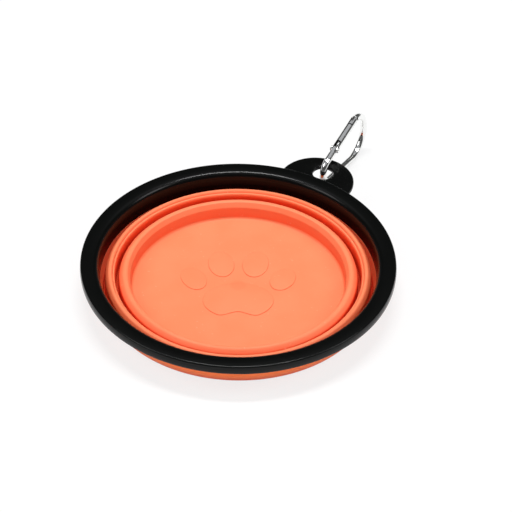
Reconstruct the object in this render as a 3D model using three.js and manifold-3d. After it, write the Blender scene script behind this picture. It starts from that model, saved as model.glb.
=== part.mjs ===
// Collapsible travel bowl, folded flat, with a hang tab and a snap hook.
// Millimetres, +Z up. The bowl's axis is Z, the underside of the base is z = 0,
// and the hang tab points along +Y.
import * as THREE from 'three';
import { mergeVertices } from 'three/addons/utils/BufferGeometryUtils.js';
import Module from 'manifold-3d';

// Clearances
const seamGap = 0.3; // between two bands where they meet at a living hinge
const fitGap = 0.3; // between any other two pieces that seat on each other
const slotGap = 0.3; // on each side of a flat tongue inside a fork

// Silicone bowl: radial run of each band from the floor's edge out to the rim
const floorRadius = 42.7;
const cupRun = 2.9;
const lowerWebRun = 4.2;
const middleRun = 1.6;
const upperWebRun = 4.7;
const topRun = 1.5;

// Silicone bowl: heights and wall sizes
const floorThickness = 2.2;
const floorFillet = 1.0;
const footSpread = 0.8; // the flat underside reaches this far past the floor's edge
const footRound = 1.0;
const lowerRidgeHeight = 9.0;
const upperRidgeHeight = 10.3;
const lowerCapWidth = 3.0; // rounded top of a fold web, from its seam to its outer shoulder
const upperCapWidth = 2.9;
const shoulderDrop = 1.4; // the shoulder lies this far below the crest
const seamDrop = 0.25; // a seam's upper edge lies this far below the crest
const seamFace = 1.3; // height of the faces that meet at a ridge seam
const lipBevel = 1.2; // rounded inner lip of a band beside a ridge seam
const foldClearance = 0.5; // underside of a folded edge above the table
const foldThickness = 1.2;
const webThickness = 1.15;
const bandThickness = 0.95;
const outerFoldWidth = 0.95; // the top band at its folded edge
const sleeveThickness = 1.25; // silicone moulded round the rim's skirt

// Plastic rim
const collapsedHeight = 15.5; // top of the rim above the table
const rimWidth = 7.4;
const rimHeight = 3.8; // outer wall of the rim
const rimDraft = 0.7;
const rimEdgeRound = 0.8; // upper outer edge of the rim
const rimInnerRound = 2.2; // upper inner edge, softer
const plateThickness = 2.0;
const lipThickness = 1.7;
const skirtThickness = 1.6;
const skirtDepth = 9.0;
const skirtDraft = 0.6;

// Hang tab
const tabRadius = 16.1;
const tabCentreOffset = 0.2; // centre of the lobe outside the rim's outer wall
const tabStep = 2.0; // tab's upper face below the rim's top
const tabEdgeRound = 0.6;
const tabHoleDiameter = 8.8;
const tabHoleOffset = 6.2; // centre of the hole outside the rim's outer wall
const tabRoot = 0.6; // the tab runs this far into the rim's lip

// Snap hook: bent rod
const rodDiameter = 3.0;
const nearBendRadius = 5.8; // bend that passes through the tab's hole
const farBendRadius = 10.4; // bend from the spine round to the nose
const hingeToBend = 6.6; // from the rivet to the start of the near bend
const bendSpacing = 23.65; // between the centres of the two bends
const bendLineAngle = THREE.MathUtils.degToRad(10.9); // line of those centres below the gate
const noseAngle = THREE.MathUtils.degToRad(72); // where the rod ends, from the gate's direction

// Snap hook: gate, tang, tongue and small pieces
const gateDiameter = 3.4;
const gateEndRound = 0.3;
const gateEndGap = 0.3; // between the gate's far end and the rod
const hingeEndGap = 0.5; // between the gate's round end and the rod
const tongueThickness = 1.4;
const tangHalfWidth = 1.4;
const tangReach = 1.6; // the tang ends this far past the rivet
const rivetDiameter = 1.4;
const rivetHeadDiameter = 2.6;
const rivetHeadHeight = 0.6;
const pinDiameter = 1.0;
const pinSetback = 1.7; // latch pin from the gate's far end
const hookThickness = 0.9;
const latchSlotGap = 1.2; // free length of the far fork beyond the tongue's tip
const tongueOuter = 1.3; // tongue's reach to the outside of the gate's axis
const tongueInner = 1.0;
const boreDiameter = 2.2;
const boreLength = 9.4;
const plungerLength = 2.3;
const wireDiameter = 0.36;
const springTurns = 8;
const springPitch = 0.85;

// How the hook lies on the table beside the bowl
const gateTilt = THREE.MathUtils.degToRad(12); // gate rises away from the bowl
const hookYaw = THREE.MathUtils.degToRad(2.4); // hook's plane off the tab's centre line
const tableGap = 0.1; // spine above the table
const bendInset = 0.0; // near bend's outermost point from the hole's centre

// Facets
const ringSegments = 64;
const roundSides = 12;
const rodSides = 10;
const rodSteps = 60;

// Radii and heights that follow from the driving dimensions
const lowerRidgeRadius = floorRadius + cupRun;
const lowerFoldRadius = lowerRidgeRadius + lowerWebRun;
const upperRidgeRadius = lowerFoldRadius + middleRun;
const upperFoldRadius = upperRidgeRadius + upperWebRun;
const rimInnerRadius = upperFoldRadius + topRun;
const rimOuterRadius = rimInnerRadius + rimWidth;
const foldTop = foldClearance + foldThickness;
const halfSeam = seamGap / 2;
const rimBottom = collapsedHeight - rimHeight;
const plateBottom = collapsedHeight - plateThickness;
const skirtBottom = collapsedHeight - skirtDepth;
const skirtInnerBottom = rimInnerRadius - skirtDraft;
const tabTop = collapsedHeight - tabStep;
const tabHoleRadius = rimOuterRadius + tabHoleOffset;
const rodRadius = rodDiameter / 2;
const gateRadius = gateDiameter / 2;
const forkHalfWidth = tongueThickness / 2 + slotGap;

// Materials
function finish(color, roughness, metalness) {
  return new THREE.MeshStandardMaterial({ color, roughness, metalness });
}
const silicone = finish('#f47a48', 0.6, 0);
const blackPlastic = finish('#141515', 0.35, 0);
const polishedMetal = finish('#d9dbd8', 0.12, 1);
const springSteel = finish('#9a9c9c', 0.35, 1);

const bowl = new THREE.Group();

function addPiece(parent, name, geometry, material) {
  const mesh = new THREE.Mesh(geometry, material);
  mesh.name = name;
  parent.add(mesh);
}

// Solids for cutting and joining
const wasm = await Module();
wasm.setup();

function toSolid(geometry) {
  const bare = geometry.clone();
  bare.deleteAttribute('normal');
  bare.deleteAttribute('uv');
  const merged = mergeVertices(bare);
  const mesh = new wasm.Mesh({
    numProp: 3,
    vertProperties: new Float32Array(merged.attributes.position.array),
    triVerts: new Uint32Array(merged.index.array),
  });
  return new wasm.Manifold(mesh);
}

function toGeometry(solid) {
  const mesh = solid.getMesh();
  const geometry = new THREE.BufferGeometry();
  geometry.setAttribute('position', new THREE.BufferAttribute(mesh.vertProperties, 3));
  geometry.setIndex(new THREE.BufferAttribute(mesh.triVerts, 1));
  geometry.computeVertexNormals();
  return geometry;
}

// A ring or dish turned about Z from an outline of [radius, height] points, counter-clockwise
function turned(outline, segments = ringSegments) {
  const points = outline.map(([radius, height]) => new THREE.Vector2(radius, height));
  if (outline[0][0] > 0) {
    points.push(points[0].clone());
  }
  return new THREE.LatheGeometry(points, segments).rotateX(Math.PI / 2);
}

// Points of a quarter round from one angle to another, both ends included
function roundPoints([radius, height], round, fromDegrees, toDegrees, steps = 3) {
  return Array.from({ length: steps + 1 }, (_, index) => {
    const angle = THREE.MathUtils.degToRad(fromDegrees + ((toDegrees - fromDegrees) * index) / steps);
    return [radius + round * Math.cos(angle), height + round * Math.sin(angle)];
  });
}

// Base cup: flat floor and the lowest band of wall, up to the inner half of the lower ridge
const cupSeam = lowerRidgeRadius - halfSeam;
const cupTop = lowerRidgeHeight - seamDrop;
const footRadius = floorRadius + footSpread;
addPiece(bowl, 'base_cup', turned([
  [0, 0],
  [footRadius, 0],
  [footRadius + footRound, footRound],
  [cupSeam, cupTop - seamFace],
  [cupSeam, cupTop],
  [cupSeam - lipBevel / 2, cupTop - lipBevel / 4],
  [cupSeam - lipBevel, cupTop - lipBevel],
  ...roundPoints([floorRadius, floorThickness + floorFillet], floorFillet, 0, -90),
  [0, floorThickness],
]), silicone);

// A fold web: rounded cap beside its ridge, a slanting leg and a folded edge at the bottom
function foldWeb(ridgeRadius, foldRadius, crestHeight, capWidth) {
  const seam = ridgeRadius + halfSeam;
  const edge = foldRadius - halfSeam;
  const shoulder = seam + capWidth;
  const capUnderside = crestHeight - seamDrop - seamFace;
  return turned([
    [seam, capUnderside],
    [shoulder - webThickness, capUnderside],
    [edge - webThickness, foldClearance + foldThickness / 2],
    [edge - webThickness / 2, foldClearance],
    [edge, foldClearance],
    [edge, foldTop],
    [shoulder, crestHeight - shoulderDrop],
    [shoulder - capWidth / 5, crestHeight - shoulderDrop / 4],
    [shoulder - capWidth / 2, crestHeight],
    [seam, crestHeight - seamDrop],
  ]);
}
addPiece(bowl, 'lower_fold_web',
  foldWeb(lowerRidgeRadius, lowerFoldRadius, lowerRidgeHeight, lowerCapWidth), silicone);
addPiece(bowl, 'upper_fold_web',
  foldWeb(upperRidgeRadius, upperFoldRadius, upperRidgeHeight, upperCapWidth), silicone);

// Middle band: stiff ring between the lower fold and the upper ridge
const middleFoot = lowerFoldRadius + halfSeam;
const middleSeam = upperRidgeRadius - halfSeam;
const middleTop = upperRidgeHeight - seamDrop;
addPiece(bowl, 'middle_band', turned([
  [middleFoot, foldClearance],
  [middleSeam - bandThickness / 2, foldClearance],
  [middleSeam, foldTop],
  [middleSeam, middleTop],
  [middleSeam - bandThickness / 2, middleTop - bandThickness / 8],
  [middleSeam - bandThickness, middleTop - lipBevel],
  [middleSeam - bandThickness, foldTop + foldThickness],
  [middleFoot, foldTop],
]), silicone);

// Top band: wall from the upper fold to the rim, moulded round the outside of the rim's skirt
const topFoot = upperFoldRadius + halfSeam;
const sleeveTop = plateBottom - fitGap;
const sleeveShoulder = skirtBottom - fitGap;
const sleeveInnerTop = rimInnerRadius + skirtThickness + fitGap;
const sleeveInnerBottom = skirtInnerBottom + skirtThickness + fitGap;
addPiece(bowl, 'top_band', turned([
  [topFoot, foldClearance],
  [topFoot + outerFoldWidth / 2, foldClearance],
  [topFoot + outerFoldWidth, foldTop],
  [sleeveInnerBottom + sleeveThickness, sleeveShoulder],
  [sleeveInnerTop + sleeveThickness, sleeveTop],
  [sleeveInnerTop, sleeveTop],
  [sleeveInnerBottom, sleeveShoulder],
  [skirtInnerBottom, sleeveShoulder],
  [topFoot, foldTop],
]), silicone);

// Rim: flat flange with an outer lip, a skirt inside the bowl, and the hang tab with its hole
const lipInner = rimOuterRadius - rimDraft - lipThickness;
const rim = toSolid(turned([
  [skirtInnerBottom, skirtBottom],
  [skirtInnerBottom + skirtThickness, skirtBottom],
  [rimInnerRadius + skirtThickness, plateBottom],
  [lipInner, plateBottom],
  [lipInner, rimBottom],
  [rimOuterRadius - rimDraft, rimBottom],
  ...roundPoints([rimOuterRadius - rimEdgeRound, collapsedHeight - rimEdgeRound], rimEdgeRound, 0, 90),
  ...roundPoints([rimInnerRadius + rimInnerRound, collapsedHeight - rimInnerRound], rimInnerRound, 90, 180),
]));

// An upright cylinder centred on Z between two heights
function uprightCylinder(radius, bottom, top, sides) {
  const geometry = new THREE.CylinderGeometry(radius, radius, top - bottom, sides);
  return geometry.rotateX(Math.PI / 2).translate(0, 0, (bottom + top) / 2);
}

function hangTab() {
  const lobe = new THREE.Shape();
  lobe.absarc(0, rimOuterRadius + tabCentreOffset, tabRadius, 0, 2 * Math.PI);
  const plate = new THREE.ExtrudeGeometry(lobe, {
    depth: tabTop - rimBottom - 2 * tabEdgeRound,
    bevelThickness: tabEdgeRound,
    bevelSize: tabEdgeRound,
    bevelOffset: -tabEdgeRound,
    bevelSegments: 2,
    curveSegments: ringSegments / 4,
  }).translate(0, 0, rimBottom + tabEdgeRound);
  const rootRadius = rimOuterRadius - rimDraft - tabRoot;
  const inside = uprightCylinder(rootRadius, 0, collapsedHeight, ringSegments);
  const hole = uprightCylinder(tabHoleDiameter / 2, 0, collapsedHeight, 2 * roundSides);
  return toSolid(plate)
    .subtract(toSolid(inside))
    .subtract(toSolid(hole.translate(0, tabHoleRadius, 0)));
}
addPiece(bowl, 'rim_ring', toGeometry(rim.add(hangTab())), blackPlastic);

// Snap hook, drawn in its own plane: the rivet at the origin, the gate along +X, the loop below it
const nearCentre = new THREE.Vector2(-hingeToBend, -nearBendRadius);
const farCentre = new THREE.Vector2(
  nearCentre.x + bendSpacing * Math.cos(bendLineAngle),
  nearCentre.y - bendSpacing * Math.sin(bendLineAngle),
);
const spineAngle = bendLineAngle + Math.asin((farBendRadius - nearBendRadius) / bendSpacing);
const spineNormal = 1.5 * Math.PI - spineAngle;
const rodStart = -gateRadius - hingeEndGap;
const rodEnd = new THREE.Vector2(
  farCentre.x + farBendRadius * Math.cos(noseAngle),
  farCentre.y + farBendRadius * Math.sin(noseAngle),
);
const gateEnd = rodEnd.x - rodRadius * Math.cos(noseAngle) - gateEndGap;

class RodCurve extends THREE.Curve {
  constructor() {
    super();
    this.route = new THREE.Path();
    this.route.moveTo(rodStart, 0);
    this.route.lineTo(-hingeToBend, 0);
    this.route.absarc(nearCentre.x, nearCentre.y, nearBendRadius, Math.PI / 2, spineNormal);
    this.route.absarc(farCentre.x, farCentre.y, farBendRadius, spineNormal, noseAngle + 2 * Math.PI);
  }

  getPoint(fraction, target = new THREE.Vector3()) {
    const point = this.route.getPoint(fraction);
    return target.set(point.x, point.y, 0);
  }
}

// A section with a given number of sides, for a rod
function roundSection(radius, sides) {
  const corners = Array.from({ length: sides }, (_, index) => {
    const angle = (2 * Math.PI * index) / sides;
    return new THREE.Vector2(radius * Math.cos(angle), radius * Math.sin(angle));
  });
  return new THREE.Shape(corners);
}

// A flat tongue or cutter in the hook's plane, from an outline, centred on that plane
function flatPlate(outline, thickness) {
  const shape = new THREE.Shape(outline.map(([along, out]) => new THREE.Vector2(along, out)));
  const geometry = new THREE.ExtrudeGeometry(shape, { depth: thickness, bevelEnabled: false });
  return geometry.translate(0, 0, -thickness / 2);
}

function rectangle(left, right, bottom, top) {
  return [[left, bottom], [right, bottom], [right, top], [left, top]];
}

// A round cutter or pin square to the hook's plane, at a point of the gate's axis
function crossCylinder(diameter, length, along) {
  return new THREE.CylinderGeometry(diameter / 2, diameter / 2, length, roundSides)
    .rotateX(Math.PI / 2)
    .translate(along, 0, 0);
}

const crossCut = 3 * gateDiameter; // long enough to cut right through the gate
const pinAlong = gateEnd - pinSetback;
const notchHalf = pinDiameter / 2 + slotGap;
const tongueTip = pinAlong - notchHalf - hookThickness;

function hookBody() {
  const rod = new THREE.ExtrudeGeometry(roundSection(rodRadius, rodSides), {
    steps: rodSteps,
    extrudePath: new RodCurve(),
  });
  const tang = flatPlate(
    rectangle(rodStart - rodRadius, tangReach, -tangHalfWidth, tangHalfWidth), tongueThickness);
  const tongue = flatPlate([
    [tongueTip, -tongueInner],
    [rodEnd.x + rodRadius / 2, -tongueInner],
    [rodEnd.x + rodRadius / 2, rodEnd.y + rodRadius / 2],
    [rodEnd.x, tongueOuter],
    [tongueTip, tongueOuter],
  ], tongueThickness);
  const notch = flatPlate(
    rectangle(pinAlong - notchHalf, pinAlong + notchHalf, -gateDiameter, notchHalf), crossCut);
  const rivetHole = crossCylinder(rivetDiameter + 2 * fitGap, crossCut, 0);
  return toSolid(rod)
    .add(toSolid(tang))
    .add(toSolid(tongue).subtract(toSolid(notch)))
    .subtract(toSolid(rivetHole));
}

const hingeSlotEnd = Math.hypot(tangReach, tangHalfWidth) + slotGap;
const latchSlotEnd = tongueTip - latchSlotGap;
const boreEnd = hingeSlotEnd + boreLength;

// The gate: a rod with a ball end at the hinge, a fork at each end and a bore for the spring
function gate() {
  const profile = [
    [0, -gateRadius],
    ...roundPoints([0, 0], gateRadius, -67.5, 0),
    [gateRadius, gateEnd - gateEndRound],
    [gateRadius - gateEndRound, gateEnd],
    [0, gateEnd],
  ];
  const rod = alongGate(turned(profile, roundSides));
  const hingeSlot = flatPlate(
    rectangle(-gateDiameter, hingeSlotEnd, -gateDiameter, gateDiameter), 2 * forkHalfWidth);
  const latchSlot = flatPlate(
    rectangle(latchSlotEnd, gateEnd + gateDiameter, -gateDiameter, gateDiameter), 2 * forkHalfWidth);
  const bore = alongGate(uprightCylinder(boreDiameter / 2, hingeSlotEnd - fitGap, boreEnd, roundSides));
  const rivetHole = crossCylinder(rivetDiameter + 2 * fitGap, crossCut, 0);
  const pinHole = crossCylinder(pinDiameter + 2 * fitGap, crossCut, pinAlong);
  return [hingeSlot, latchSlot, bore, rivetHole, pinHole]
    .reduce((solid, cutter) => solid.subtract(toSolid(cutter)), toSolid(rod));
}

// Turns a shape built along Z so that it lies along the gate
function alongGate(geometry) {
  return geometry.rotateY(Math.PI / 2);
}

// Rivet with a domed head on each side of the gate
function rivet() {
  const headSeat = Math.sqrt(gateRadius ** 2 - (rivetDiameter / 2 + fitGap) ** 2) + fitGap;
  const half = [
    [rivetDiameter / 2, headSeat],
    [rivetHeadDiameter / 2, headSeat],
    [rivetHeadDiameter / 2, headSeat + rivetHeadHeight / 3],
    [rivetHeadDiameter / 3, headSeat + rivetHeadHeight],
    [0, headSeat + rivetHeadHeight],
  ];
  const mirrored = half.map(([radius, height]) => [radius, -height]).reverse();
  return turned([...mirrored, ...half], roundSides);
}

function plunger() {
  const plungerRadius = boreDiameter / 2 - fitGap;
  const tip = tangReach + fitGap;
  return alongGate(turned([
    [0, tip],
    [plungerRadius / 2, tip],
    [plungerRadius, tip + plungerRadius / 2],
    [plungerRadius, tip + plungerLength],
    [0, tip + plungerLength],
  ], roundSides));
}

// Coil spring: a helix along the gate's bore
class SpringCurve extends THREE.Curve {
  getPoint(fraction, target = new THREE.Vector3()) {
    const angle = 2 * Math.PI * springTurns * fraction;
    const radius = boreDiameter / 2 - fitGap - wireDiameter / 2;
    const start = tangReach + 2 * fitGap + plungerLength + wireDiameter;
    const along = start + springPitch * springTurns * fraction;
    return target.set(along, radius * Math.cos(angle), radius * Math.sin(angle));
  }
}

const stepsPerTurn = 8;
const wireSides = 5;
const springCurve = new SpringCurve();

// Least gap of the spring's wire to itself, between points at least half a turn apart
function springSelfGap() {
  const points = springCurve.getSpacedPoints(springTurns * stepsPerTurn * 4);
  const apart = stepsPerTurn * 2;
  let least = Infinity;
  for (let first = 0; first < points.length; first += 1) {
    for (let second = first + apart; second < points.length; second += 1) {
      least = Math.min(least, points[first].distanceTo(points[second]));
    }
  }
  return least - wireDiameter;
}
console.log(`gate spring's least gap to itself: ${springSelfGap().toFixed(2)} mm`);

const spring = new THREE.ExtrudeGeometry(roundSection(wireDiameter / 2, wireSides), {
  steps: springTurns * stepsPerTurn,
  extrudePath: springCurve,
});

// Places the hook: its near bend through the tab's hole, its spine just above the table
const origin = new THREE.Vector2();
const nearTilted = nearCentre.clone().rotateAround(origin, gateTilt);
const farTilted = farCentre.clone().rotateAround(origin, gateTilt);
const rivetOut = nearBendRadius + bendInset - nearTilted.x;
const rivetHeight = farBendRadius + rodRadius + tableGap - farTilted.y;

const hookPlace = new THREE.Group();
hookPlace.position.set(0, tabHoleRadius, 0);
hookPlace.rotation.z = hookYaw;
bowl.add(hookPlace);

const hook = new THREE.Group();
hook.position.set(0, rivetOut, rivetHeight);
hook.setRotationFromMatrix(new THREE.Matrix4().makeBasis(
  new THREE.Vector3(0, Math.cos(gateTilt), Math.sin(gateTilt)),
  new THREE.Vector3(0, -Math.sin(gateTilt), Math.cos(gateTilt)),
  new THREE.Vector3(1, 0, 0),
));
hookPlace.add(hook);

addPiece(hook, 'carabiner_body', toGeometry(hookBody()), polishedMetal);
addPiece(hook, 'carabiner_gate', toGeometry(gate()), polishedMetal);
addPiece(hook, 'gate_hinge_rivet', rivet(), polishedMetal);
addPiece(hook, 'gate_latch_pin', crossCylinder(pinDiameter, gateDiameter, pinAlong), polishedMetal);
addPiece(hook, 'gate_plunger', plunger(), springSteel);
addPiece(hook, 'gate_spring', spring, springSteel);

export default bowl;
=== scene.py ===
import math
import bmesh
import bpy
from mathutils import Matrix, Vector


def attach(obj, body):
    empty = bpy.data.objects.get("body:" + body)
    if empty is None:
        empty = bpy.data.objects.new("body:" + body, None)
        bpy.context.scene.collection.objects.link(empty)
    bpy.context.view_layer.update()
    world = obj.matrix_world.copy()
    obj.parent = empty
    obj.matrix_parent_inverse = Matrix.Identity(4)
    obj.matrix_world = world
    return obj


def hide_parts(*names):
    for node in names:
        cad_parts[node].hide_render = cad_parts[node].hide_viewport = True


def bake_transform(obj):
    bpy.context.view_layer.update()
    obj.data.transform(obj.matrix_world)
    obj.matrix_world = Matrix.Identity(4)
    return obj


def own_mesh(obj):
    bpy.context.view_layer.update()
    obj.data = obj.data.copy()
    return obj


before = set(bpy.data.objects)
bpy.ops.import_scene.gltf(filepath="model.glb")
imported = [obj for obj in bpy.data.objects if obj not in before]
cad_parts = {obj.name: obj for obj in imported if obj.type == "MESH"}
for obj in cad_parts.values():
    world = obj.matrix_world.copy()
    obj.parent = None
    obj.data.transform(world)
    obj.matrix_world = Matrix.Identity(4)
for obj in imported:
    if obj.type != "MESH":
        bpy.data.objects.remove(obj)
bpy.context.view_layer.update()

# Base cup: the flat floor of the bowl and the lowest band of its wall.
# Matte silicone, moulded in one shot with the bands above it. A paw print stands a third of
# a millimetre proud of the floor, and the mould's sprue left a round mark in the middle.
MM = 0.001
SAME_PLACE = 1e-7
MERGE_REACH = 1e-6
CORNER_STEPS = 6


def clear_selection():
    """Leaves nothing selected, so that the next operator acts on the new piece alone."""
    bpy.ops.object.select_all(action="DESELECT")


def select_only(piece):
    """Makes a piece the only one that is selected, and the active one."""
    clear_selection()
    piece.select_set(True)
    bpy.context.view_layer.objects.active = piece


def apply_place():
    """Puts the selected piece's place, turn and scale into its mesh."""
    bpy.ops.object.transform_apply(location=True, rotation=True, scale=True)


def pick(wanted, kind="verts"):
    """In edit mode, selects the vertices, edges or faces that wanted() says yes to."""
    bpy.ops.mesh.select_mode(type={"verts": "VERT", "edges": "EDGE", "faces": "FACE"}[kind])
    bpy.ops.mesh.select_all(action="DESELECT")
    mesh = bmesh.from_edit_mesh(bpy.context.object.data)
    for item in getattr(mesh, kind):
        if wanted(item):
            item.select_set(True)
    mesh.select_flush_mode()
    bmesh.update_edit_mesh(bpy.context.object.data)


def close_to(point):
    """A test for vertices at a point given in millimetres."""
    place = Vector(point) * MM
    return lambda vertex: (vertex.co - place).length < SAME_PLACE


def draw_outline(name, corners, closed):
    """Draws an outline of (radius, height, setback of the rounded corner) in the XZ plane."""
    clear_selection()
    bpy.ops.mesh.primitive_plane_add(size=MM, location=(corners[0][0] * MM, 0, corners[0][1] * MM))
    piece = bpy.context.object
    piece.name = name
    apply_place()
    bpy.ops.object.mode_set(mode="EDIT")
    bpy.ops.mesh.select_mode(type="VERT")
    bpy.ops.mesh.merge(type="CENTER")
    for before, after in zip(corners, corners[1:]):
        move = ((after[0] - before[0]) * MM, 0, (after[1] - before[1]) * MM)
        bpy.ops.mesh.extrude_vertices_move(TRANSFORM_OT_translate={"value": move})
    if closed:
        first = close_to((corners[0][0], 0, corners[0][1]))
        last = close_to((corners[-1][0], 0, corners[-1][1]))
        pick(lambda vertex: first(vertex) or last(vertex))
        bpy.ops.mesh.edge_face_add()
    for radius, height, setback in corners:
        if setback:
            pick(close_to((radius, 0, height)))
            bpy.ops.mesh.bevel(
                offset=setback * MM, segments=CORNER_STEPS, affect="VERTICES", clamp_overlap=False)
    return piece


def tidy_surface(piece, crease=40):
    """Merges doubles, turns the faces outwards and shades all but the sharp edges smooth."""
    bpy.ops.mesh.select_all(action="SELECT")
    bpy.ops.mesh.remove_doubles(threshold=MERGE_REACH)
    bpy.ops.mesh.normals_make_consistent(inside=False)
    bpy.ops.object.mode_set(mode="OBJECT")
    select_only(piece)
    bpy.ops.object.shade_smooth_by_angle(angle=math.radians(crease))


def turn(name, corners, closed=True, steps=192):
    """Turns an outline about the Z axis into a ring, or into a solid where it starts on the axis."""
    piece = draw_outline(name, corners, closed)
    bpy.ops.mesh.select_all(action="SELECT")
    bpy.ops.mesh.spin(steps=steps, angle=2 * math.pi, center=(0, 0, 0), axis=(0, 0, 1))
    tidy_surface(piece)
    return piece


def join(piece, others):
    """Joins other pieces into one."""
    select_only(piece)
    for other in others:
        other.select_set(True)
    bpy.ops.object.join()


class Wire:
    """An output socket in a material. Arithmetic on it adds Math nodes, put() adds any other node."""

    def __init__(self, tree, socket=None):
        self.tree = tree
        self.socket = socket

    def put(self, kind, settings, sockets, output=0):
        node = self.tree.nodes.new(kind)
        for name, value in settings.items():
            if name == "stops":
                ramp = node.color_ramp.elements
                while len(ramp) < len(value):
                    ramp.new(0.5)
                for element, (position, color) in zip(ramp, value):
                    element.position = position
                    element.color = color
            else:
                setattr(node, name, value)
        for name, value in sockets.items():
            if isinstance(value, Wire):
                self.tree.links.new(value.socket, node.inputs[name])
            else:
                node.inputs[name].default_value = value
        return Wire(self.tree, node.outputs[output] if node.outputs else None)

    def math(self, operation, first, second=0.0):
        return self.put("ShaderNodeMath", {"operation": operation}, {0: first, 1: second})

    def __add__(self, other):
        return self.math("ADD", self, other)

    __radd__ = __add__

    def __sub__(self, other):
        return self.math("SUBTRACT", self, other)

    def __rsub__(self, other):
        return self.math("SUBTRACT", other, self)

    def __mul__(self, other):
        return self.math("MULTIPLY", self, other)

    __rmul__ = __mul__


def new_finish(name):
    """An empty material: returns it, a Wire to build with, and its Object coordinates."""
    material = bpy.data.materials.new(name)
    material.use_nodes = True
    material.node_tree.nodes.clear()
    start = Wire(material.node_tree)
    place = start.put("ShaderNodeTexCoord", {}, {}, "Object")
    return material, start, place


def noise(place, size_mm, detail=2.0, roughness=0.5):
    """Noise between 0 and 1 whose blotches are about the given size."""
    return place.put("ShaderNodeTexNoise", {}, {
        "Vector": place, "Scale": 1000.0 / size_mm, "Detail": detail, "Roughness": roughness})


def step(value, low, high):
    """Goes smoothly from 0 to 1 as value goes from low to high."""
    return value.put("ShaderNodeMapRange", {"interpolation_type": "SMOOTHSTEP"}, {
        "Value": value, "From Min": low, "From Max": high})


def tint(factor, first, second):
    """A colour mixed from two, by a factor."""
    return factor.put("ShaderNodeMix", {"data_type": "RGBA"}, {
        "Factor": factor, 6: first, 7: second}, 2)


def wrap(material, start, sockets, height, depth):
    """Ends a material in one Principled shader, with a bump of a depth in metres."""
    bump = start.put("ShaderNodeBump", {}, {"Height": height, "Strength": 1.0, "Distance": depth})
    shader = start.put("ShaderNodeBsdfPrincipled", {}, {**sockets, "Normal": bump})
    start.put("ShaderNodeOutputMaterial", {}, {"Surface": shader})
    return material


CORAL = (0.97, 0.246, 0.110, 1)
CORAL_PALE = (0.98, 0.260, 0.120, 1)
# The next three colours are painted shade: darker reds for slopes and close walls, for the bottoms of
# folds and for the sleeve under the rim. The first also colours the sprue's mark.
CORAL_SHADE_AND_SPRUE = (0.95, 0.075, 0.016, 1)
CORAL_FOLD_SHADE = (0.48, 0.008, 0.001, 1)
CORAL_SLEEVE_SHADE = (0.95, 0.200, 0.056, 1)
DUST = (1.0, 0.62, 0.45, 1)
FOLD_REACH = 8.0
UPPER_FOLD = 55.5
SLEEVE_RADIUS = 57.2
SOFT_EDGE = 0.6
SPRUE_RADIUS = 2.6
SPRUE_FADE = 4.0


def silicone_finish():
    """Matte coral silicone: faint cloudiness, fine mould grain and a few pale specks of dust.

    Painted shade tints it a darker red on slopes and between close walls, most of all at the bottom
    of a fold, and on the sleeve round the rim, under its overhang. The sprue's mark in the middle of
    the floor is a little darker too.
    """
    material, start, place = new_finish("silicone")
    flat = place.put("ShaderNodeVectorMath", {"operation": "MULTIPLY"}, {0: place, 1: (1, 1, 0)})
    radius = place.put("ShaderNodeVectorMath", {"operation": "LENGTH"}, {0: flat}, "Value")
    mark = 1 - step(radius, SPRUE_RADIUS * MM, SPRUE_FADE * MM)
    outer = step(radius, UPPER_FOLD * MM, (UPPER_FOLD + SOFT_EDGE) * MM)
    sleeve = step(radius, SLEEVE_RADIUS * MM, (SLEEVE_RADIUS + SOFT_EDGE) * MM)
    clouds = noise(place, 14.0, 3.0)
    grain = noise(place, 0.35, 2.0)
    dust = step(noise(place, 1.1, 1.0), 0.74, 0.78)

    # A face that looks up has 1 here and an upright wall 0.
    facing = start.put("ShaderNodeNewGeometry", {}, {}, "Normal")
    upwards = start.put("ShaderNodeSeparateXYZ", {}, {0: facing}, "Z")
    slope = 1 - step(upwards, 0.70, 0.98)
    upright = 1 - step(upwards, 0.20, 0.60)

    # A place with nothing near it has 1 here, and the bottom of a closed fold 0.
    openness = start.put("ShaderNodeAmbientOcclusion", {"samples": 8}, {"Distance": FOLD_REACH * MM}, "AO")
    enclosed = 1 - step(openness, 0.35, 0.85)
    fold_bottom_shade = 1 - step(openness, 0.02, 0.14)

    # Painted shade: slopes, upright walls and places between close walls are tinted towards a darker red.
    # The sprue's mark, a real mark, takes the same tint.
    painted_shade_and_sprue = slope * 0.04 + upright * 0.34 + enclosed * (0.10 + slope * 0.42) + mark * 0.10
    color = tint(step(clouds, 0.35, 0.65), CORAL, CORAL_PALE)
    color = tint(painted_shade_and_sprue * (1 - outer * 0.5), color, CORAL_SHADE_AND_SPRUE)
    # Painted shade: the bottom of a closed fold is painted dark red.
    color = tint(fold_bottom_shade * (0.85 - outer * 0.70), color, CORAL_FOLD_SHADE)
    # Painted shade: the sleeve round the rim, under the rim's overhang, is painted a darker coral.
    color = tint(sleeve, color, CORAL_SLEEVE_SHADE)
    color = tint(dust * 0.25, color, DUST)
    return wrap(material, start, {
        "Base Color": color,
        "Roughness": 0.44 + grain * 0.12,
        "Specular IOR Level": 0.17,
    }, height=grain, depth=0.00002)


FLOOR_RING = 38.0
FLOOR_THICKNESS = 1.7
cup = turn("base_cup_moulding", [
    (0, 0, 0),
    (43.8, 0, 0.7),
    (44.9, 1.3, 1.0),
    (45.62, 7.0, 0),
    (45.62, 9.08, 0),
    (44.45, 7.1, 0.4),
    (44.15, FLOOR_THICKNESS, 1.2),
    (FLOOR_RING, FLOOR_THICKNESS, 0),
    (0, FLOOR_THICKNESS, 0),
], closed=False)

PAW_HEIGHT = 0.32
PAW_SINK = 0.6
PAW_ROUND = 0.16
PAW_TURN = 30.43
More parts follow.
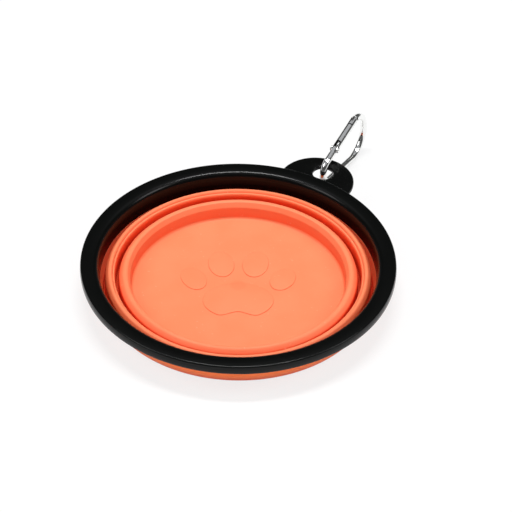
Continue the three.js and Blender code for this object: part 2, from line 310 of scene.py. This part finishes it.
# Each pad has its centre, half width and half length in millimetres, and its lean in degrees.
TOES = [
    (-18.5, 4.0, 5.0, 7.2, 24),
    (-7.2, 13.5, 5.4, 8.2, 8),
    (7.2, 13.5, 5.4, 8.2, -8),
    (18.5, 4.0, 5.0, 7.2, -24),
]
HEEL_PAD = (0.0, -9.5, 14.5, 11.0, 0)
HEEL_NOTCH = 4.0
HEEL_NOTCH_REACH = 9.0
HEEL_NOTCH_TIP = 0.5


def paw_pad(along, up, half_width, half_length, lean):
    """One raised oval of the paw print, sunk a little into the floor."""
    clear_selection()
    bpy.ops.mesh.primitive_cylinder_add(vertices=96, radius=MM, depth=(PAW_HEIGHT + PAW_SINK) * MM)
    pad = bpy.context.object
    pad.scale = (half_width, half_length, 1)
    pad.rotation_euler = (0, 0, math.radians(lean))
    pad.location = (along * MM, up * MM, (FLOOR_THICKNESS + (PAW_HEIGHT - PAW_SINK) / 2) * MM)
    apply_place()
    return pad


toes = [paw_pad(*toe) for toe in TOES]
heel_pad = paw_pad(*HEEL_PAD)
heel_back = Vector((0, HEEL_PAD[1] - HEEL_PAD[3])) * MM
bpy.ops.object.mode_set(mode="EDIT")
pick(lambda vertex: (vertex.co.xy - heel_back).length < HEEL_NOTCH_TIP * MM)
bpy.ops.transform.translate(
    value=(0, HEEL_NOTCH * MM, 0), use_proportional_edit=True,
    proportional_edit_falloff="SMOOTH", proportional_size=HEEL_NOTCH_REACH * MM)
bpy.ops.object.mode_set(mode="OBJECT")
paw = [heel_pad, *toes]
for pad in paw:
    select_only(pad)
    bpy.ops.object.mode_set(mode="EDIT")
    pick(lambda face: face.normal.z > 0.9, "faces")
    bpy.ops.mesh.bevel(offset=PAW_ROUND * MM, segments=3, affect="EDGES")
    tidy_surface(pad, crease=50)
    pad.rotation_euler = (0, 0, math.radians(PAW_TURN))
    apply_place()
join(cup, paw)

silicone = silicone_finish()
cup.data.materials.append(silicone)
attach(cup, "base")
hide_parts("base_cup")

# Fold webs: the slanting walls that turn inside out when the bowl is pulled open.
# The same moulded silicone. In the real bowl the rounded ridge above and the folded edge below act as
# living hinges, so each web bends between the bands that it joins; here each web is drawn as it lies
# folded.
SEAM_LAP = 0.02
FOLD_BOTTOM = 0.5
FOLD_TOP = 1.7


def fold_web(name, ridge, fold, crest, top, shoulder, drop, crease):
    """A web from its ridge to its fold: a rounded roll, a slope down to the shoulder and a steep leg.

    Ridge, top, shoulder and fold are radii, from the seam at the ridge and the outer edge of the roll
    to the seam at the fold. The shoulder lies below the crest by drop, and the ridge's seam by crease.
    """
    web = turn(name, [
        (ridge - SEAM_LAP, crest - 1.6, 0),
        (shoulder - 1.15, crest - drop - 0.6, 0.4),
        (fold - 1.35, 1.1, 0.4),
        (fold - 0.7, FOLD_BOTTOM, 0.3),
        (fold + SEAM_LAP, FOLD_BOTTOM, 0),
        (fold + SEAM_LAP, FOLD_TOP, 0),
        (fold - 0.25, 1.9, 0.2),
        (shoulder, crest - drop, 0.6),
        (top, crest, 0.7),
        (ridge + 0.6, crest, 0.4),
        (ridge - SEAM_LAP, crest - crease, 0),
    ])
    web.data.materials.append(silicone)
    return web


LOWER_RIDGE = 45.6
LOWER_FOLD = 49.8
UPPER_RIDGE = 51.7
lower_web = fold_web(
    "lower_fold_web_moulding", ridge=LOWER_RIDGE, fold=LOWER_FOLD,
    crest=9.45, top=47.3, shoulder=49.2, drop=1.9, crease=0.35)
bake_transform(lower_web)
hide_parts("lower_fold_web")
upper_web = fold_web(
    "upper_fold_web_moulding", ridge=UPPER_RIDGE, fold=UPPER_FOLD,
    crest=10.6, top=53.3, shoulder=54.75, drop=1.8, crease=1.0)
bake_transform(upper_web)
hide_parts("upper_fold_web")

# Middle band: the ring of wall between the two folds.
# Moulded with the webs in the same silicone. It stands nearly upright and keeps its round shape
# while they turn over.
middle = turn("middle_band_moulding", [
    (LOWER_FOLD - SEAM_LAP, FOLD_BOTTOM, 0),
    (51.2, FOLD_BOTTOM, 0.5),
    (51.6, 2.0, 0.5),
    (UPPER_RIDGE + SEAM_LAP, 9.2, 0),
    (UPPER_RIDGE + SEAM_LAP, 9.6, 0),
    (51.20, 9.5, 0.15),
    (50.92, 8.9, 0.2),
    (50.75, 8.1, 0.3),
    (50.70, 2.7, 0.6),
    (LOWER_FOLD - SEAM_LAP, FOLD_TOP, 0),
])
middle.data.materials.append(silicone)
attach(middle, "middle")
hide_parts("middle_band")

# Top band: the outermost ring of wall, from the upper fold up into the rim.
# The same silicone, moulded round the outside of the rim's skirt, which locks the two together.
top_band = turn("top_band_moulding", [
    (UPPER_FOLD - SEAM_LAP, FOLD_BOTTOM, 0),
    (56.4, FOLD_BOTTOM, 0.35),
    (57.1, 1.7, 0.5),
    (60.05, 6.2, 1.2),
    (60.85, 13.2, 0.2),
    (59.3, 13.2, 0),
    (58.7, 6.8, 0),
    (57.0, 6.8, 0.1),
    (56.45, 4.3, 0.5),
    (UPPER_FOLD - SEAM_LAP, FOLD_TOP, 0),
])
top_band.data.materials.append(silicone)
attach(top_band, "rim")
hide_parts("top_band")

# Rim: the stiff black ring round the mouth, with the hang tab moulded on.
# Injection-moulded satin polypropylene; the tab's upper face lies two millimetres below the rim's
# and a round hole in it takes the snap hook.
RIM_TOP = 15.5
TAB_TOP = 13.5
TAB_BOTTOM = 11.7
TAB_CENTRE = 65.2
TAB_RADIUS = 16.1
TAB_ROOT = 63.6
TAB_ROUND_TOP = 0.7
TAB_ROUND_BOTTOM = 0.4
TAB_SIDES = 192
HOLE_CENTRE = 71.2
HOLE_RADIUS = 4.4
MOUTH_CUT_HEIGHT = 20.0
BLACK = (0.0016, 0.0019, 0.0017, 1)
BLACK_WORN = (0.004, 0.0042, 0.004, 1)

rim = turn("rim_moulding", [
    (56.95, 6.9, 0.2),
    (58.6, 6.9, 0.2),
    (59.2, TAB_TOP, 0.3),
    (62.6, TAB_TOP, 0.3),
    (62.6, TAB_BOTTOM, 0.3),
    (64.85, TAB_BOTTOM, 0.3),
    (65.1, 13.3, 0.9),
    (64.8, RIM_TOP, 0.6),
    (57.6, RIM_TOP, 2.2),
], steps=256)


def combine(piece, tool, operation, finishes="INDEX"):
    """Cuts a tool out of a piece, or fuses it on, and removes the tool. TRANSFER keeps its finish."""
    select_only(piece)
    boolean = piece.modifiers.new("combine", "BOOLEAN")
    boolean.operation = operation
    boolean.solver = "EXACT"
    boolean.material_mode = finishes
    boolean.object = tool
    bpy.ops.object.modifier_apply(modifier=boolean.name)
    bpy.data.objects.remove(tool)


def level_edges(height):
    """A test for edges that lie flat at a height in millimetres and border an upright face."""
    return lambda edge: (
        all(abs(vertex.co.z - height * MM) < SAME_PLACE for vertex in edge.verts)
        and any(abs(face.normal.z) < 0.5 for face in edge.link_faces))


clear_selection()
bpy.ops.mesh.primitive_circle_add(
    vertices=TAB_SIDES, radius=TAB_RADIUS * MM, location=(0, TAB_CENTRE * MM, TAB_BOTTOM * MM))
tab = bpy.context.object
apply_place()
bpy.ops.object.mode_set(mode="EDIT")
bpy.ops.mesh.primitive_circle_add(
    vertices=TAB_SIDES, radius=HOLE_RADIUS * MM, location=(0, HOLE_CENTRE * MM, TAB_BOTTOM * MM))
bpy.ops.mesh.select_all(action="SELECT")
bpy.ops.mesh.bridge_edge_loops()
bpy.ops.mesh.extrude_region_move(
    TRANSFORM_OT_translate={"value": (0, 0, (TAB_TOP - TAB_BOTTOM) * MM)})
pick(level_edges(TAB_TOP), "edges")
bpy.ops.mesh.bevel(offset=TAB_ROUND_TOP * MM, segments=5, affect="EDGES")
pick(level_edges(TAB_BOTTOM), "edges")
bpy.ops.mesh.bevel(offset=TAB_ROUND_BOTTOM * MM, segments=4, affect="EDGES")
tidy_surface(tab)

# The lobe ends inside the rim's lip, so the mouth is cut out of it before the two are fused.
clear_selection()
bpy.ops.mesh.primitive_cylinder_add(
    vertices=256, radius=TAB_ROOT * MM, depth=MOUTH_CUT_HEIGHT * MM,
    location=(0, 0, MOUTH_CUT_HEIGHT / 2 * MM))
mouth_cut = bpy.context.object
apply_place()
combine(tab, mouth_cut, "DIFFERENCE")
combine(rim, tab, "UNION")
bpy.ops.object.mode_set(mode="EDIT")
tidy_surface(rim)


def black_plastic():
    """Satin black plastic: fine mould texture, slow changes of gloss, faint rubbed spots."""
    material, start, place = new_finish("black_plastic")
    texture = noise(place, 0.5, 3.0)
    patches = noise(place, 9.0, 3.0)
    rubbed = step(noise(place, 2.2, 5.0, 0.7), 0.60, 0.75) * step(patches, 0.45, 0.7)
    return wrap(material, start, {
        "Base Color": tint(rubbed * 0.3, BLACK, BLACK_WORN),
        "Roughness": 0.16 + patches * 0.08 + rubbed * 0.03,
        "Specular IOR Level": 0.19,
    }, height=texture, depth=0.000004)


rim.data.materials.append(black_plastic())
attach(rim, "rim")
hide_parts("rim_ring")

# Snap hook body: a rod bent into a pear-shaped loop, passed through the tab's hole.
# Polished metal; its end beside the hinge is pressed flat into a tang between the gate's cheeks,
# and the nose ends in a flat hooked tongue. Drawn in its own plane, rivet at the origin, gate along X.
ROD_RADIUS = 1.5
NEAR_BEND = 5.8
FAR_BEND = 10.4
HINGE_TO_BEND = 6.6
BEND_SPACING = 23.65
BEND_LINE = math.radians(10.9)
NOSE = math.radians(72)
GATE_RADIUS = 1.7
HINGE_GAP = 0.5
NOSE_GAP = 0.3
PIN_SETBACK = 1.7
ROD_START = -GATE_RADIUS - HINGE_GAP
NEAR_CENTRE = Vector((-HINGE_TO_BEND, -NEAR_BEND, 0))
FAR_CENTRE = NEAR_CENTRE + Vector((math.cos(BEND_LINE), -math.sin(BEND_LINE), 0)) * BEND_SPACING
SPINE = BEND_LINE + math.asin((FAR_BEND - NEAR_BEND) / BEND_SPACING)
SPINE_LENGTH = math.sqrt(BEND_SPACING ** 2 - (FAR_BEND - NEAR_BEND) ** 2)
ROD_END = FAR_CENTRE + Vector((math.cos(NOSE), math.sin(NOSE), 0)) * FAR_BEND
GATE_END = ROD_END.x - ROD_RADIUS * math.cos(NOSE) - NOSE_GAP
PIN_ALONG = GATE_END - PIN_SETBACK

GATE_TILT = math.radians(12)
HOOK_YAW = math.radians(2.4)
TABLE_GAP = 0.1
tilt = Matrix.Rotation(GATE_TILT, 3, "Z")
RIVET_OUT = NEAR_BEND - (tilt @ NEAR_CENTRE).x
RIVET_HEIGHT = FAR_BEND + ROD_RADIUS + TABLE_GAP - (tilt @ FAR_CENTRE).y
along_gate = Vector((0, math.cos(GATE_TILT), math.sin(GATE_TILT)))
out_of_gate = Vector((0, -math.sin(GATE_TILT), math.cos(GATE_TILT)))
hook_axes = Matrix((along_gate, out_of_gate, Vector((1, 0, 0)))).transposed().to_4x4()
HOOK_PLACE = (
    Matrix.Translation((0, HOLE_CENTRE * MM, 0))
    @ Matrix.Rotation(HOOK_YAW, 4, "Z")
    @ Matrix.Translation((0, RIVET_OUT * MM, RIVET_HEIGHT * MM))
    @ hook_axes)


def place_on_hook(piece):
    """Moves a piece from the hook's own plane to where the hook lies."""
    select_only(piece)
    piece.matrix_world = HOOK_PLACE
    apply_place()


def push(move):
    """Extrudes the selected edges by a move in millimetres."""
    bpy.ops.mesh.extrude_edges_move(TRANSFORM_OT_translate={"value": tuple(Vector(move) * MM)})


def bend(centre, angle, steps):
    """Bends the selected edges on about a centre in the hook's plane, anticlockwise."""
    bpy.ops.mesh.spin(steps=steps, angle=-angle, center=tuple(centre * MM), axis=(0, 0, 1))


def flat_block(name, left, right, bottom, top, thickness):
    """A flat block centred on the hook's plane."""
    clear_selection()
    bpy.ops.mesh.primitive_cube_add(size=MM)
    block = bpy.context.object
    block.name = name
    block.scale = (right - left, top - bottom, thickness)
    block.location = Vector((left + right, bottom + top, 0)) / 2 * MM
    apply_place()
    return block


def edges_across(along):
    """A test for edges that lie across the gate's line, at a distance along it in millimetres."""
    return lambda edge: all(abs(vertex.co.x - along * MM) < SAME_PLACE for vertex in edge.verts)


clear_selection()
bpy.ops.mesh.primitive_circle_add(
    vertices=32, radius=ROD_RADIUS * MM, location=(ROD_START * MM, 0, 0), rotation=(0, math.pi / 2, 0))
hook = bpy.context.object
hook.name = "snap_hook_rod"
apply_place()
bpy.ops.object.mode_set(mode="EDIT")
push((-HINGE_TO_BEND - ROD_START, 0, 0))
bend(NEAR_CENTRE, math.pi - SPINE, steps=40)
push((SPINE_LENGTH * math.cos(SPINE), -SPINE_LENGTH * math.sin(SPINE), 0))
bend(FAR_CENTRE, NOSE + math.pi / 2 + SPINE, steps=56)
bpy.ops.mesh.select_all(action="SELECT")
bpy.ops.mesh.fill_holes(sides=0)
tidy_surface(hook)

FLAT_THICKNESS = 1.4
TANG_ROOT = 1.5
TANG_TIP = 1.6
TANG_HALF_WIDTH = 1.4
TANG_ROUND = 1.2
tang = flat_block(
    "tang", left=ROD_START - TANG_ROOT, right=TANG_TIP, bottom=-TANG_HALF_WIDTH, top=TANG_HALF_WIDTH,
    thickness=FLAT_THICKNESS)
at_tip = edges_across(TANG_TIP)
bpy.ops.object.mode_set(mode="EDIT")
pick(lambda edge: at_tip(edge) and abs(edge.verts[0].co.z - edge.verts[1].co.z) > SAME_PLACE, "edges")
bpy.ops.mesh.bevel(offset=TANG_ROUND * MM, segments=6, affect="EDGES")
tidy_surface(tang)
combine(hook, tang, "UNION")

TONGUE_REACH = 1.7
TONGUE_ROOT = 0.6
NOTCH_HALF_WIDTH = 0.8
tongue = flat_block(
    "tongue", left=PIN_ALONG - TONGUE_REACH, right=ROD_END.x + TONGUE_ROOT, bottom=-1.0, top=0.9,
    thickness=FLAT_THICKNESS)
notch = flat_block(
    "notch", left=PIN_ALONG - NOTCH_HALF_WIDTH, right=PIN_ALONG + NOTCH_HALF_WIDTH, bottom=-3.0, top=0.45,
    thickness=3 * FLAT_THICKNESS)
combine(tongue, notch, "DIFFERENCE")
combine(hook, tongue, "UNION")
bpy.ops.object.mode_set(mode="EDIT")
tidy_surface(hook)

POLISHED = (0.86, 0.865, 0.855, 1)
HANDLED = (0.76, 0.765, 0.75, 1)


def polished_metal():
    """Polished metal: near-mirror, with hairline polishing marks and a few dull handling spots."""
    material, start, place = new_finish("polished_metal")
    stretched = place.put("ShaderNodeMapping", {}, {"Vector": place, "Scale": (1.0, 0.12, 1.0)})
    hairlines = noise(stretched, 0.12, 2.0)
    dull = step(noise(place, 3.0, 4.0, 0.6), 0.55, 0.75)
    return wrap(material, start, {
        "Base Color": tint(dull * 0.5, POLISHED, HANDLED),
        "Metallic": 1.0,
        "Roughness": 0.07 + hairlines * 0.05 + dull * 0.06,
    }, height=hairlines, depth=0.000002)


metal = polished_metal()
place_on_hook(hook)
hook.data.materials.append(metal)
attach(hook, "hook")
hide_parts("carabiner_body")

# Gate: the straight sprung bar that closes the hook.
# A turned pin with a fork milled in each end, one round the tang and one round the nose's tongue,
# and the same polish as the rod. Beyond the tang the hinge's slot keeps a floor towards the loop.
HINGE_ROUND = 1.3
LATCH_ROUND = 0.3
HINGE_SLOT_END = 4.2
HINGE_FLOOR_START = 2.3
HINGE_FLOOR = -1.0
LATCH_SLOT_END = PIN_ALONG - 2.9
FORK_WIDTH = 2.0
SLOT_OVERLAP = 1.0
CUTTER_REACH = 4.0
# Painted shade: near-black colours that stand in for the shade inside the gate's slots.
SLOT_SHADE_DARK = (0.010, 0.010, 0.010, 1)
SLOT_SHADE_MARKS = (0.035, 0.035, 0.034, 1)


def slot_painted_shade():
    """Painted shade: the slots' faces are near black, standing in for the shade inside them, with faint
    milling marks.
    """
    material, start, place = new_finish("slot_painted_shade")
    marks = noise(place, 0.15, 2.0)
    return wrap(material, start, {
        "Base Color": tint(marks, SLOT_SHADE_DARK, SLOT_SHADE_MARKS),
        "Metallic": 0.6,
        "Roughness": 0.45 + marks * 0.2,
    }, height=marks, depth=0.00001)


slot_shade_finish = slot_painted_shade()
clear_selection()
bpy.ops.mesh.primitive_cylinder_add(
    vertices=48, radius=GATE_RADIUS * MM, depth=(GATE_END + GATE_RADIUS) * MM,
    location=((GATE_END - GATE_RADIUS) / 2 * MM, 0, 0), rotation=(0, math.pi / 2, 0))
gate = bpy.context.object
gate.name = "snap_hook_gate"
apply_place()
bpy.ops.object.mode_set(mode="EDIT")
for end, round_off in ((-GATE_RADIUS, HINGE_ROUND), (GATE_END, LATCH_ROUND)):
    pick(edges_across(end), "edges")
    bpy.ops.mesh.bevel(offset=round_off * MM, segments=6, affect="EDGES")
tidy_surface(gate)
gate.data.materials.append(metal)
for left, right, bottom in (
        (-CUTTER_REACH, HINGE_FLOOR_START, -CUTTER_REACH),
        (HINGE_FLOOR_START - SLOT_OVERLAP, HINGE_SLOT_END, HINGE_FLOOR),
        (LATCH_SLOT_END, GATE_END + CUTTER_REACH, -CUTTER_REACH)):
    slot = flat_block("slot", left, right, bottom, top=CUTTER_REACH, thickness=FORK_WIDTH)
    # Painted shade: the slots' faces take the near-black finish.
    slot.data.materials.append(slot_shade_finish)
    combine(gate, slot, "DIFFERENCE", "TRANSFER")
bpy.ops.object.mode_set(mode="EDIT")
tidy_surface(gate)
place_on_hook(gate)
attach(gate, "gate")
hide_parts("carabiner_gate")

# Hinge rivet and latch pin: turned pins of the same polished metal as the rod.
# The rivet holds the gate on the tang, and its domed heads stand proud on both cheeks. The pin is
# pressed across the far fork, where the nose's tongue holds it.
rivet = turn("hinge_rivet", [
    (0, -2.3, 0),
    (0.9, -2.15, 0.3),
    (1.3, -1.7, 0.15),
    (1.25, -1.45, 0),
    (0.7, -1.45, 0),
    (0.7, 1.45, 0),
    (1.25, 1.45, 0),
    (1.3, 1.7, 0.15),
    (0.9, 2.15, 0.3),
    (0, 2.3, 0),
], closed=False, steps=48)
place_on_hook(rivet)
rivet.data.materials.append(metal)
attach(rivet, "hook")
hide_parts("gate_hinge_rivet")

PIN_RADIUS = 0.5
PIN_HALF_LENGTH = 1.66
PIN_ROUND = 0.12
pin = turn("latch_pin", [
    (0, -PIN_HALF_LENGTH, 0),
    (PIN_RADIUS, -PIN_HALF_LENGTH, PIN_ROUND),
    (PIN_RADIUS, PIN_HALF_LENGTH, PIN_ROUND),
    (0, PIN_HALF_LENGTH, 0),
], closed=False, steps=32)
pin.location = (PIN_ALONG * MM, 0, 0)
apply_place()
place_on_hook(pin)
pin.data.materials.append(metal)
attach(pin, "gate")
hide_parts("gate_latch_pin")

# Plunger and spring: hidden in the gate's bore, they press on the tang and close the gate.
# A turned steel pin, which keeps its CAD shape, and a coil of drawn steel wire behind it.
STEEL = (0.40, 0.41, 0.41, 1)
STEEL_BRIGHT = (0.52, 0.53, 0.53, 1)


def spring_steel():
    """Drawn steel, duller than the polished hook."""
    material, start, place = new_finish("spring_steel")
    drawn = noise(place, 0.2, 3.0)
    return wrap(material, start, {
        "Base Color": tint(drawn, STEEL, STEEL_BRIGHT),
        "Metallic": 1.0,
        "Roughness": 0.28 + drawn * 0.15,
    }, height=drawn, depth=0.000004)


steel = spring_steel()
plunger = bpy.data.objects["gate_plunger"]
plunger.data.materials.clear()
plunger.data.materials.append(steel)

PLUNGER_BACK = 4.2
PLUNGER_GAP = 0.02
SPRING_SEAT = 11.83
SPRING_START = PLUNGER_BACK + PLUNGER_GAP
SPRING_TURNS = 9
STEPS_PER_TURN = 24
COIL_RADIUS = 0.62
WIRE_RADIUS = 0.18
WIRE_SIDES = 10
clear_selection()
bpy.ops.mesh.primitive_circle_add(
    vertices=WIRE_SIDES, radius=WIRE_RADIUS * MM,
    location=((SPRING_START + WIRE_RADIUS) * MM, COIL_RADIUS * MM, 0))
apply_place()
spring = bpy.context.object
spring.name = "wound_spring"
winding = spring.modifiers.new("winding", "SCREW")
winding.axis = "X"
winding.iterations = SPRING_TURNS
winding.screw_offset = (SPRING_SEAT - SPRING_START - 2 * WIRE_RADIUS) / SPRING_TURNS * MM
winding.steps = STEPS_PER_TURN
bpy.ops.object.modifier_apply(modifier=winding.name)
bpy.ops.object.mode_set(mode="EDIT")
bpy.ops.mesh.select_all(action="SELECT")
bpy.ops.mesh.fill_holes(sides=WIRE_SIDES)
bpy.ops.mesh.normals_make_consistent(inside=False)
bpy.ops.object.mode_set(mode="OBJECT")
bpy.ops.object.shade_smooth()
place_on_hook(spring)
spring.data.materials.append(steel)
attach(spring, "gate")
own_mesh(spring)
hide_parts("gate_spring")

# Studio: a plain white table in a dim room, which is not part of the bowl.
# A narrow strip light hangs overhead, a soft light stands on each side, and a low soft light in
# front fills the shadows without being mirrored in shiny surfaces.
TABLE_SIZE = 6.0
TABLE_DROP = 0.05
TABLE_WHITE = (0.90, 0.90, 0.90, 1)
TABLE_BRIGHT = (0.92, 0.92, 0.92, 1)
WHITE = (1, 1, 1, 1)
GLOW = 0.78
MIRRORED_SHARE = 0.5
GLOW_NEAR = 0.12
GLOW_FAR = 0.45
clear_selection()
bpy.ops.mesh.primitive_plane_add(size=TABLE_SIZE, location=(0, 0, -TABLE_DROP * MM))
table = bpy.context.object
table.name = "table"

# The camera sees the table mostly as plain white, and shiny surfaces see the part of it that is
# near the bowl partly so. All other light meets matte paper, which takes the bowl's shadow.
material, start, place = new_finish("white_table")
paper = tint(noise(place, 4.0, 3.0), TABLE_WHITE, TABLE_BRIGHT)
matte = start.put("ShaderNodeBsdfDiffuse", {}, {"Color": paper})
glow = start.put("ShaderNodeEmission", {}, {"Color": WHITE, "Strength": 1.0})
seen = start.put("ShaderNodeLightPath", {}, {}, "Is Camera Ray")
mirrored = start.put("ShaderNodeLightPath", {}, {}, "Is Glossy Ray")
apart = place.put("ShaderNodeVectorMath", {"operation": "LENGTH"}, {0: place}, "Value")
nearby = 1 - step(apart, GLOW_NEAR, GLOW_FAR)
plain_white = (seen + mirrored * nearby * MIRRORED_SHARE) * GLOW
surface = start.put("ShaderNodeMixShader", {}, {0: plain_white, 1: matte, 2: glow})
start.put("ShaderNodeOutputMaterial", {}, {"Surface": surface})
table.data.materials.append(material)

scene = bpy.context.scene
scene.view_settings.view_transform = "Standard"

# The room's grey goes from the horizon, 0, to straight overhead, 1. The camera sees plain white.
room = bpy.data.worlds.new("room")
scene.world = room
room.use_nodes = True
room.node_tree.nodes.clear()
start = Wire(room.node_tree)
direction = start.put("ShaderNodeTexCoord", {}, {}, "Generated")
height = start.put("ShaderNodeSeparateXYZ", {}, {0: direction}, "Z")
walls = start.put("ShaderNodeValToRGB", {"stops": [
    (0.0, (0.50, 0.50, 0.50, 1)),
    (0.15, (0.12, 0.12, 0.12, 1)),
    (0.60, (0.05, 0.05, 0.05, 1)),
    (0.67, (0.08, 0.08, 0.08, 1)),
    (0.76, (0.42, 0.42, 0.43, 1)),
    (0.90, (0.45, 0.46, 0.48, 1)),
    (1.0, (0.12, 0.12, 0.12, 1)),
]}, {0: height})
ambient = start.put("ShaderNodeBackground", {}, {"Color": walls, "Strength": 1.0})
backdrop = start.put("ShaderNodeBackground", {}, {"Color": WHITE, "Strength": 1.0})
seen = start.put("ShaderNodeLightPath", {}, {}, "Is Camera Ray")
around = start.put("ShaderNodeMixShader", {}, {0: seen, 1: ambient, 2: backdrop})
start.put("ShaderNodeOutputWorld", {}, {"Surface": around})


def soft_light(name, place, width, depth, power, mirrored=True):
    """A soft light that points at the bowl, seen or not seen in shiny surfaces."""
    lamp = bpy.data.lights.new(name, "AREA")
    lamp.shape = "RECTANGLE"
    lamp.size = width
    lamp.size_y = depth
    lamp.energy = power
    holder = bpy.data.objects.new(name, lamp)
    holder.location = place
    holder.rotation_euler = (-Vector(place)).to_track_quat("-Z", "Y").to_euler()
    holder.visible_glossy = mirrored
    scene.collection.objects.link(holder)


soft_light("overhead_strip", place=(-0.10, 0.17, 1.18), width=0.6, depth=0.12, power=10.3)
soft_light("left", place=(-0.66, -0.60, 0.95), width=0.5, depth=0.5, power=3.3)
soft_light("right", place=(0.95, 0.35, 0.95), width=0.5, depth=0.5, power=3.7)
soft_light("front_fill", place=(0.58, -1.06, 0.40), width=0.8, depth=0.8, power=4.2, mirrored=False)

# Camera: a long lens at the photograph's angle.
# Its angle, roll, aim and lens were fitted to the outlines of the rim, the ridges and the base.
DISTANCE = 1.0
ELEVATION = math.radians(40.84)
AZIMUTH = math.radians(30.43)
ROLL = math.radians(0.89)
AIM = (-0.00434, 0.02197, 0.0)
LENS = 169.57
SENSOR_WIDTH = 36
camera = bpy.data.cameras.new("camera")
camera.lens = LENS
camera.sensor_width = SENSOR_WIDTH
stand = bpy.data.objects.new("camera", camera)
stand.location = DISTANCE * Vector((
    math.cos(ELEVATION) * math.sin(AZIMUTH),
    -math.cos(ELEVATION) * math.cos(AZIMUTH),
    math.sin(ELEVATION)))
look = (Vector(AIM) - stand.location).to_track_quat("-Z", "Y").to_matrix()
stand.rotation_euler = (look @ Matrix.Rotation(ROLL, 3, "Z")).to_euler()
scene.collection.objects.link(stand)
scene.camera = stand
